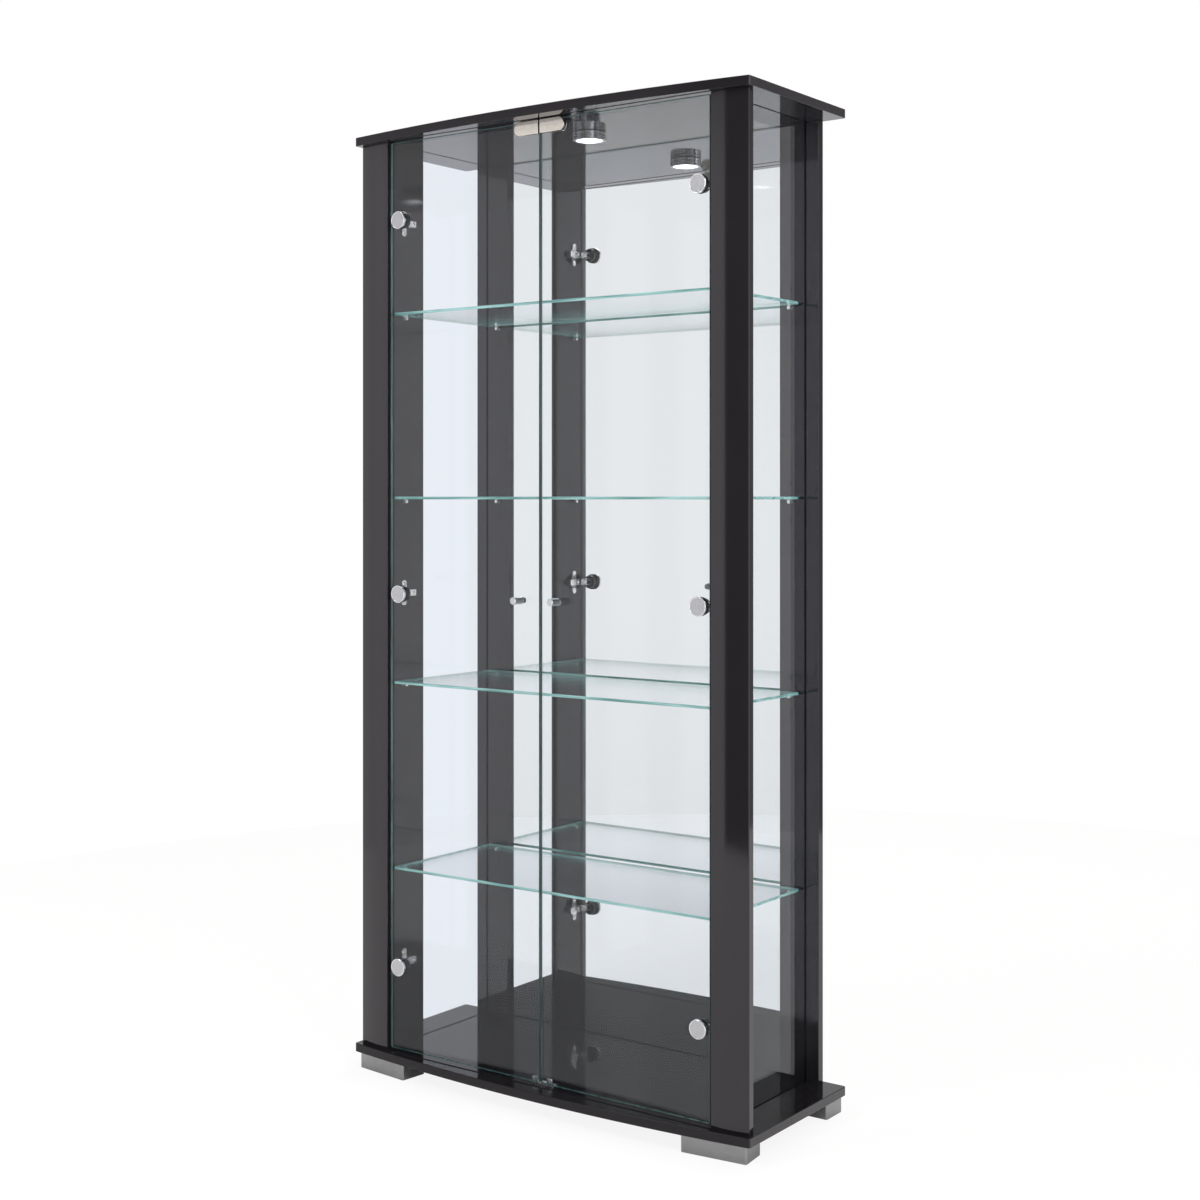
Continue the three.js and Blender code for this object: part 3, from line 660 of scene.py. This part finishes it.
# The mirror's edges take the same near-black copy, painted shade.
piece("mirror", prism(fillet([(x0, z0), (x1, z0), (x1, z1), (x0, z1)], 1.5, 4), y0, y1, 0.4, 2, "y", (0, 1, 2)),
      [SILVER, EDGE_IN_SHADE, BACK_PAINT])
x0, x1, y0, y1, z0, z1 = limits("back_panel")
piece("back_panel", prism(fillet([(x0, z0), (x1, z0), (x1, z1), (x0, z1)], 1.0, 3), y0, y1, 0.25, 2, "y"), [BOARD])
for i in (1, 2, 3, 4):
    x0, x1, y0, y1, z0, z1 = limits(f"shelf_{i}")
    loop = fillet([(x0, y0), (x1, y0), (x1, y1), (x0, y1)], 3.0, 6)
    # The shelves' edges take the lit edge copy, which shines with painted light.
    piece(f"shelf_{i}", prism(loop, z0, z1, 0.55, 2, "z", (0, 1, 0)), [SHELF_PANE, EDGE_LONG_LIT])

# shelf pins: a plated stud with a collar, and a clear pad under the glass
for i, z in zip((1, 2, 3, 4), PIN_Z):
    b = limits(f"shelf_pin_{i}_front_left")
    z = limits(f"shelf_{i}")[4] - 4.2
    stud = turned(rounded([(0, RETURN_X1 + 9.5), (2.9, RETURN_X1 + 9.5), (3.4, RETURN_X1 + 8.6), (3.4, RETURN_X1 + 2.2), (2.7, RETURN_X1 + 2.0),
                           (2.7, RETURN_X1 + 1.2), (3.4, RETURN_X1 + 1.0), (3.4, RETURN_X1 + 0.3), (2.2, RETURN_X1 + 0.3), (2.2, RETURN_X1 - 7), (0, RETURN_X1 - 7)], 0.25, 2),
                  (PIN_FRONT_Y, z), "x", 28)
    pad = slab(RETURN_X1 + 2.8, RETURN_X1 + 9.0, PIN_FRONT_Y - 2.2, PIN_FRONT_Y + 2.2, z + 1.5, z + 3.9, 0.4, 0.8, mats=(1, 1, 1))
    front = Shape().join(stud, pad)
    y = STILE_Y0
    stud = turned(rounded([(0, y - 9.5), (2.9, y - 9.5), (3.4, y - 8.6), (3.4, y - 2.2), (2.7, y - 2.0), (2.7, y - 1.2), (3.4, y - 1.0),
                           (3.4, y - 0.3), (2.2, y - 0.3), (2.2, y + 7), (0, y + 7)], 0.25, 2), (-PIN_REAR_X, z), "y", 28)
    pad = slab(-PIN_REAR_X - 2.2, -PIN_REAR_X + 2.2, y - 9.0, y - 2.8, z + 1.5, z + 3.9, 0.4, 0.8, mats=(1, 1, 1))
    rear = Shape().join(stud, pad)
    for side in ("left", "right"):
        turn = (lambda s: s) if side == "left" else (lambda s: s.flipped())
        piece(f"shelf_pin_{i}_front_{side}", turn(front), [PLATE, CLEAR_PAD])
        piece(f"shelf_pin_{i}_rear_{side}", turn(rear), [PLATE, CLEAR_PAD])


# ---------------------------------------------------------------- doors
door_loop = fillet([(DOOR[0], DOOR[4]), (DOOR[1], DOOR[4]), (DOOR[1], DOOR[5]), (DOOR[0], DOOR[5])], 4.0, 6)
door = prism(door_loop, GLASS_F, GLASS_B, 0.6, 3, "y", (0, 1, 0))
# The meeting edge behind its front arris takes the darker meeting copy of the edge: painted shade in the gap between
# the doors.
for i, f in enumerate(door.f):
    if door.m[i] == 1 and all(door.v[k][0] > DOOR[1] - 1.2 and DOOR[4] + 4 < door.v[k][2] < DOOR[5] - 4 or door.v[k][0] > DOOR[1] - 0.3 for k in f) \
            and sum(door.v[k][1] for k in f) / len(f) > GLASS_F + 0.7:
        door.m[i] = 2
door_holes = Shape()
for z in HINGE_Z.values():
    door_holes.join(turned([(0, GLASS_F - 2), (13, GLASS_F - 2), (13, GLASS_B + 2), (0, GLASS_B + 2)], (CUP_X, z), "y", 48, 1))
door_holes.join(turned([(0, GLASS_F - 2), (3.2, GLASS_F - 2), (3.2, GLASS_B + 2), (0, GLASS_B + 2)], (KNOB_X, KNOB_Z), "y", 24, 1))
F, B = GLASS_F, GLASS_B
knob = turned(rounded([(0, F - 25.3), (5.7, F - 25.3), (6.5, F - 24.5), (6.5, F - 2.6), (6.1, F - 2.3), (6.1, F - 1.7), (6.5, F - 1.4), (6.5, F - 0.9),
                       (6.2, F - 0.4), (2.6, F - 0.4), (2.6, B + 0.4), (5.5, B + 0.4), (5.5, B + 1.6), (3.4, B + 1.6), (3.0, B + 3.2), (0, B + 3.2)],
                      [0, 0, 0.5, 0.5, 0.1, 0.1, 0.1, 0.2, 0.2, 0, 0, 0.2, 0.3, 0.2, 0.5, 0], 3), (KNOB_X, KNOB_Z), "y", 56,
              [1] * 4 + [0] * 60)


# ---------------------------------------------------------------- screws
def cross_screw(r, h, name):
    """A pan head with a cross recess, its axis along +z from the origin."""
    dome = [(0, 0), (r, 0), (r, h * 0.35)] + [(r * cos(a), h * 0.35 + (h * 0.65) * sin(a)) for a in [radians(x) for x in (20, 38, 54, 68, 80)]] + [(0, h)]
    ob = as_object(name, turned(dome, (0, 0), "z", 32), [PLATE, RECESS_SHADE])
    # The recess walls take the dark recess metal, painted shade.
    w, l, d = r * 0.26, r * 1.12, h * 0.62
    for x, y in ((l, w), (w, l)):
        pts = []
        low, top = 0.45, 1.0
        bottom = [(-x / 2 * (low if x > y else 1), -y / 2 * (low if y > x else 1)), (x / 2 * (low if x > y else 1), -y / 2 * (low if y > x else 1)),
                  (x / 2 * (low if x > y else 1), y / 2 * (low if y > x else 1)), (-x / 2 * (low if x > y else 1), y / 2 * (low if y > x else 1))]
        upper = [(-x / 2, -y / 2), (x / 2, -y / 2), (x / 2, y / 2), (-x / 2, y / 2)]
        pts = [(a, b, h - d) for a, b in bottom] + [(a * 1.1, b * 1.1, h + 0.5) for a, b in upper]
        cut(ob, Shape().add(pts, [(3, 2, 1, 0), (4, 5, 6, 7), (0, 1, 5, 4), (1, 2, 6, 5), (2, 3, 7, 6), (3, 0, 4, 7)], 1))
    return shape_of(ob)


PLUS_X = Matrix(((0, 0, 1), (1, 0, 0), (0, 1, 0)))         # turns +z to +x
screw_big = cross_screw(4.0, 2.2, "screw_big")
screw_small = cross_screw(3.2, 1.9, "screw_small")
EIGHTH = Matrix.Rotation(radians(27), 3, "Z")


# ---------------------------------------------------------------- hinges, at height 0
def px(x):
    return PIVOT_X + x


def py(y):
    return PIVOT_Y + y


cap = turned(rounded([(0, F - 4.7), (14.7, F - 4.7), (14.9, F - 5.0), (15.7, F - 5.0), (CAP_R, F - 4.5), (CAP_R, F - 0.3), (12.6, F - 0.3), (12.6, B + 0.3), (0, B + 0.3)],
                     [0, 0.2, 0.2, 0.3, 0.5, 0.2, 0, 0, 0], 3), (CUP_X, 0), "y", 72, [0] * 1 + [1] * 60)
seat = turned(rounded([(0, B + 0.3), (15.2, B + 0.3), (16, B + 0.9), (16, B + 1.8), (15.4, B + 2.3), (13.5, B + 2.5), (13.5, B + 11.4), (12.9, B + 12),
                       (11.5, B + 12), (11, B + 11.4), (11, B + 3), (0, B + 3)], 0.3, 2), (CUP_X, 0), "y", 64, 2)
cup_ob = as_object("cup", seat, [SATIN, CHROME, CUP, PLATE])
cut(cup_ob, prism([(CUP_X - 20, -7.4), (CUP_X, -7.4), (CUP_X, 7.4), (CUP_X - 20, 7.4)], B + 3.0, B + 14, 0, axis="y", mats=(2, 2, 2)))
cup_shape = shape_of(cup_ob)
link = [(px(14), py(4.6)), (px(14), py(8.6))]
link += [(px(13.4 * cos(radians(a))), py(13.4 * sin(radians(a)))) for a in [44 + 70 * i / 14 for i in range(15)]]
link += [(px(9 * cos(radians(a))), py(9 * sin(radians(a)))) for a in [114 - 70 * i / 14 for i in range(15)]]
link += [(px(6.9), py(4.6))]
plates = Shape().join(*(prism(link, z0, z1, 0.2, 2, mats=(3, 3, 3)) for z0, z1 in ((4.7, 6.3), (-6.3, -4.7))))
pivots = Shape()
for z in (6.3, -6.3):       # rivet heads on the side plates
    sign = 1 if z > 0 else -1
    pivots.join(turned(rounded([(0, z), (1.7, z), (1.7, z + sign * 0.5), (0, z + sign * 0.8)], 0.2, 2),
                       (px(11.2 * cos(radians(72))), py(11.2 * sin(radians(72)))), "z", 20, 3))
cup = Shape().join(cap, cup_shape, plates, pivots)

face = RETURN_X1 + 0.3
wing = prism(fillet([(py(30), -24), (py(42), -24), (py(42), 24), (py(30), 24)], 5.5, 8), face, face + 2.3, 0.5, 3, "x", r0=0.1)
rail = slab(face, px(-1.5), py(24), py(56), -6.5, 6.5, 0.6, 1.5, axis="x")
arm = prism(fillet([(px(-2), py(60)), (px(3), py(60)), (px(3), py(23)), (px(8.5), py(17.5)), (px(5.5), py(15.2)), (px(-2), py(21.7))],
                   [1.5, 1.5, 3, 1, 1, 1.5], 4), -6, 6, 0.6, 3)
tongue = prism(fillet([(px(8.5), py(17.5)), (px(10.5), py(14.5)), (px(10.5), py(6.6)), (px(6.4), py(6.6)), (px(6.4), py(12.6)), (px(4.6), py(16.2)), (px(3.2), py(20))],
                      [1.5, 1.5, 1.2, 1.2, 1, 1, 0.6], 3), -4, 4, 0.4, 2)
hinge_arm = Shape().join(wing, rail, arm, tongue)
for dz in (-16, 16):
    hinge_arm.join(screw_big.turned(EIGHTH).turned(PLUS_X).moved(face + 1.7, py(36), dz))
for dy in (34, 52):
    hinge_arm.join(screw_small.turned(PLUS_X).moved(px(2.5), py(dy), 0))

# ---------------------------------------------------------------- strikes
b = limits("strike_left")
sx0, sx1, sz0, sz1 = b[0], b[1], b[4], b[5]
strike_loop = fillet([(sx0, sz0), (sx1, sz0), (sx1, sz1), (sx0, sz1)], [11.5, 1.6, 1.6, 11.5], 10)
strike = Shape().join(
    prism(strike_loop, b[2], F - 0.3, 1.2, 5, "y", r1=0.2),
    prism(strike_loop, B + 0.3, b[3], 0.5, 3, "y", r0=0.2),
    slab(sx0 + 14, sx1 - 1, b[2] + 1.0, b[3] - 0.2, DOOR[5] + 0.3, sz1, 0.4, 0.4, axis="x"))

for side in ("left", "right"):
    turn = (lambda s: s) if side == "left" else (lambda s: s.flipped())
    body = f"{side}_door"
    # The doors' edges take the shaded edge copies: painted shade.
    piece(f"door_glass_{side}", turn(door), [DOOR_PANE, EDGE_DOOR_SHADED, EDGE_MEET_SHADED], body, cuts=(turn(door_holes),))
    piece(f"knob_{side}", turn(knob), [KNOB_BODY, SATIN_END], body)
    piece(f"strike_{side}", turn(strike), [NICKEL], body)
    for word, z in HINGE_Z.items():
        piece(f"hinge_cup_{word}_{side}", turn(cup).moved(z=z), [SATIN, CAP_RIM, CUP, PLATE], body)
        piece(f"hinge_arm_{word}_{side}", turn(hinge_arm).moved(z=z), [PLATE, RECESS_SHADE], "carcass")

# ---------------------------------------------------------------- catch under the top panel
b = limits("catch_body")
cy = CHORD
catch = Shape().join(
    slab(-24, 24, cy + 18.4, cy + 33, CEIL_Z - 13, CEIL_Z - 2.2, 0.9, 1.6, axis="y"),
    slab(-34, 34, cy + 20, cy + 31.5, CEIL_Z - 2.4, CEIL_Z - 0.2, 0.4, 3.0),
    slab(-20, -6, cy + 17.7, cy + 19, CEIL_Z - 11.5, CEIL_Z - 4, 0.3, 0.8, axis="y", mats=(1, 1, 1)),
    slab(6, 20, cy + 17.7, cy + 19, CEIL_Z - 11.5, CEIL_Z - 4, 0.3, 0.8, axis="y", mats=(1, 1, 1)))
DOWN = Matrix.Rotation(pi, 3, "X")
for x in (-29, 29):
    catch.join(screw_small.turned(Matrix.Scale(0.8, 3)).turned(DOWN).moved(x, cy + 25.8, CEIL_Z - 2.3).painted(0))
piece("catch_body", catch, [PLATE, MAGNET])

# ---------------------------------------------------------------- stop on the floor
y0 = B + 1
stop = Shape().join(slab(-24, 24, y0, y0 + 14, FLOOR_Z + 0.2, FLOOR_Z + 2, 0.3, 2.0))
for x in (-16, 16):
    loop = fillet([(x - 6, FLOOR_Z + 1), (x + 6, FLOOR_Z + 1), (x + 6, FLOOR_Z + 12.5), (x - 6, FLOOR_Z + 12.5)], [0.3, 0.3, 3, 3], 5)
    stop.join(prism(loop, y0, y0 + 2.4, 0.5, 3, "y"))
stop.join(screw_big.turned(Matrix.Scale(0.9, 3)).moved(0, y0 + 8, FLOOR_Z + 1.9))
piece("door_stop", stop, [PLATE, RECESS_SHADE])

# ---------------------------------------------------------------- light
housing = turned(rounded([(0, CEIL_Z - 0.2), (LED_R - 0.6, CEIL_Z - 0.2), (LED_R, CEIL_Z - 1), (LED_R, CEIL_Z - 4.2), (LED_R - 0.5, CEIL_Z - 4.5),
                          (LED_R - 0.5, CEIL_Z - 5.1), (LED_R, CEIL_Z - 5.4), (LED_R, LED[4] + 1), (LED_R - 1, LED[4]), (25.5, LED[4]), (25, LED[4] + 1),
                          (25, CEIL_Z - 6), (0, CEIL_Z - 6)], 0.3, 3), (LED_X, LED_Y), "z", 96, 0)
piece("led_housing", housing, [CASE])
l = limits("led_lens")
lens = turned(rounded([(0, l[4]), (20, l[4]), (23.6, l[4] + 0.25), (24.6, l[4] + 1.0), (24.6, l[5]), (0, l[5])], 0.4, 3), (LED_X, LED_Y), "z", 72)
piece("led_lens", lens, [LENS])


# ---------------------------------------------------------------- studio
floor = bpy.data.meshes.new("studio_floor")
ring = [(2.6 * cos(2 * pi * k / 96), 0.25 + 2.9 * sin(2 * pi * k / 96), 0.0) for k in range(96)]
floor.from_pydata(ring, [], [tuple(range(96))])
n = Nodes("studio_floor")
soft = n.noise(1.4, 2.0, 0.5)
paper = n.mix(soft, (0.86, 0.86, 0.865), (0.88, 0.88, 0.88))
split = n.new("ShaderNodeSeparateXYZ")
n.link(n.coords(), split.inputs[0])
far = n.math("SQRT", n.math("ADD", n.math("POWER", split.outputs[0], 2.0), n.math("POWER", n.math("SUBTRACT", split.outputs[1], 0.25), 2.0)))
lift = n.range(far, 0.9, 2.2, 0.48, 0.50, smooth=True)
# Painted shadow: under the cabinet's footprint the floor's emission is cut to a tenth, so the underside, the feet and
# reflections see a dark floor there.
under = n.math("MULTIPLY", n.range(n.math("ABSOLUTE", split.outputs[0]), 0.38, 0.50, 1.0, 0.0, smooth=True),
               n.range(n.math("ABSOLUTE", split.outputs[1]), 0.12, 0.24, 1.0, 0.0, smooth=True))
floor_light_with_painted_shadow = n.math("MULTIPLY", lift, n.math("SUBTRACT", 1.0, n.math("MULTIPLY", under, 0.9)))
path = n.new("ShaderNodeLightPath")
lit = n.surface(Base_Color=paper, Roughness=0.9, Specular_IOR_Level=0.1, Emission_Color=(0.885, 0.868, 0.830), Emission_Strength=floor_light_with_painted_shadow)
white, share = n.new("ShaderNodeEmission"), n.new("ShaderNodeMixShader")      # seen straight on, the paper is nearly the backdrop's white
n.link(n.math("MULTIPLY", path.outputs["Is Camera Ray"], 0.88), share.inputs[0])
n.link(lit, share.inputs[1])
n.link(white.outputs[0], share.inputs[2])
floor.materials.append(n.done(share.outputs[0]))
floor_ob = bpy.data.objects.new("studio_floor", floor)
scene.collection.objects.link(floor_ob)

world = bpy.data.worlds.new("studio")
scene.world = world
world.use_nodes = True
n = Nodes("studio", world.node_tree)
split = n.new("ShaderNodeSeparateXYZ")
direction = n.new("ShaderNodeVectorMath", operation="NORMALIZE")
n.link(n.new("ShaderNodeTexCoord").outputs["Generated"], direction.inputs[0])
n.link(direction.outputs[0], split.inputs[0])
x, y, z = split.outputs
front = n.range(y, -0.1, 0.3, 1.0, 0.0, smooth=True)
high = n.math("ADD", n.math("MULTIPLY", front, n.range(z, 0.17, 0.27, 0.0, 1.0, smooth=True)),      # where the walls end and the dark upper room begins
              n.math("MULTIPLY", n.math("SUBTRACT", 1.0, front), n.range(z, 0.40, 0.75, 0.0, 1.0, smooth=True)))
lower = n.range(z, -0.30, -0.02, 0.90, 1.0, smooth=True)
wall = n.math("MULTIPLY", lower, 1.12)
behind_up = n.math("MULTIPLY", n.math("SUBTRACT", 1.0, front), n.range(z, 0.14, 0.26, 0.0, 0.36, smooth=True))
behind_low = n.math("MULTIPLY", n.math("SUBTRACT", 1.0, front), n.range(n.math("ABSOLUTE", z), 0.28, 0.36, 0.27, 0.0, smooth=True))
clean = n.math("MULTIPLY", wall, n.math("SUBTRACT", 1.0, behind_low))
clean = n.math("ADD", n.math("MULTIPLY", clean, n.math("SUBTRACT", 1.0, high)), n.math("MULTIPLY", high, 0.16))
wall = n.math("MULTIPLY", wall, n.math("SUBTRACT", 1.0, behind_up))
level = n.math("ADD", n.math("MULTIPLY", wall, n.math("SUBTRACT", 1.0, high)), n.math("MULTIPLY", high, 0.16))
azimuth = n.math("ARCTAN2", x, n.math("MULTIPLY", y, -1.0))
flag = n.math("MULTIPLY", n.range(azimuth, radians(-24.5), radians(-22.0), 0.0, 1.0, smooth=True),
              n.range(azimuth, radians(-6.0), radians(-2.0), 1.0, 0.0, smooth=True))
rear = n.math("MULTIPLY", n.math("ADD", n.range(azimuth, radians(132), radians(142), 0.0, 0.55, smooth=True),
                                n.range(azimuth, radians(141), radians(147), 0.0, 0.22, smooth=True)),
              n.range(azimuth, radians(160), radians(168), 1.0, 0.0, smooth=True))
side = n.range(azimuth, radians(-58), radians(-48), 0.84, 1.0, smooth=True)
flagged = n.math("MULTIPLY", level, n.math("SUBTRACT", 1.0, n.math("MULTIPLY", flag, 0.90)))
flagged = n.math("MULTIPLY", n.math("MULTIPLY", flagged, side), n.math("SUBTRACT", 1.0, rear))
strip = n.math("MULTIPLY", n.math("MULTIPLY", n.range(azimuth, radians(44), radians(50), 0.0, 1.0, smooth=True),
                                  n.range(azimuth, radians(74), radians(80), 1.0, 0.0, smooth=True)),
               n.range(n.math("ABSOLUTE", z), 0.45, 0.55, 1.0, 0.0, smooth=True))
flagged = n.math("ADD", flagged, n.math("MULTIPLY", strip, 2.2))
path = n.new("ShaderNodeLightPath")
seen = n.mix(path.outputs["Is Singular Ray"], flagged, clean)
tinted = n.new("ShaderNodeVectorMath", operation="MULTIPLY")
n.link(seen, tinted.inputs[0])
n.link(n.mix(path.outputs["Is Singular Ray"], (0.995, 0.985, 1.005), (1.0, 0.985, 0.955)), tinted.inputs[1])
final = n.mix(path.outputs["Is Camera Ray"], tinted.outputs[0], (1.0, 1.0, 1.0))
backdrop = n.new("ShaderNodeBackground")
n.link(final, backdrop.inputs["Color"])
n.link(backdrop.outputs[0], n.new("ShaderNodeOutputWorld").inputs["Surface"])


def softbox(name, place, aim, size, power, colour=(1, 1, 1)):
    lamp = bpy.data.lights.new(name, "AREA")
    lamp.shape, lamp.size, lamp.size_y, lamp.energy, lamp.color = "RECTANGLE", size[0], size[1], power, colour
    ob = bpy.data.objects.new(name, lamp)
    ob.location = place
    ob.rotation_euler = (Vector(aim) - Vector(place)).to_track_quat("-Z", "Y").to_euler()
    ob.visible_camera = False
    scene.collection.objects.link(ob)
    return ob


softbox("key", (-1.6, -2.6, 3.4), (0, 0, 0.9), (1.6, 1.2), 60)
softbox("fill", (2.6, -1.2, 3.2), (0, 0, 0.8), (1.4, 1.4), 40)
softbox("rear", (0.0, 2.4, 3.4), (0, 0, 1.0), (2.2, 1.0), 30)

camera = bpy.data.cameras.new("camera")
camera.sensor_width, camera.lens = 36.0, 54.06
camera.shift_x, camera.shift_y = 0.0, -0.085
camera.clip_start, camera.clip_end = 0.05, 60.0
cam = bpy.data.objects.new("camera", camera)
cam.location = (1.951, -2.633, 1.078)
cam.rotation_euler = (radians(90), 0, radians(36.11))
scene.collection.objects.link(cam)
scene.camera = cam

scene.view_settings.view_transform = "Standard"
scene.view_settings.look = "None"
scene.view_settings.exposure, scene.view_settings.gamma = 0.0, 1.0
scene.cycles.max_bounces = 24
scene.cycles.glossy_bounces = 12
scene.cycles.transmission_bounces = 16
scene.cycles.transparent_max_bounces = 64
scene.cycles.use_denoising = True
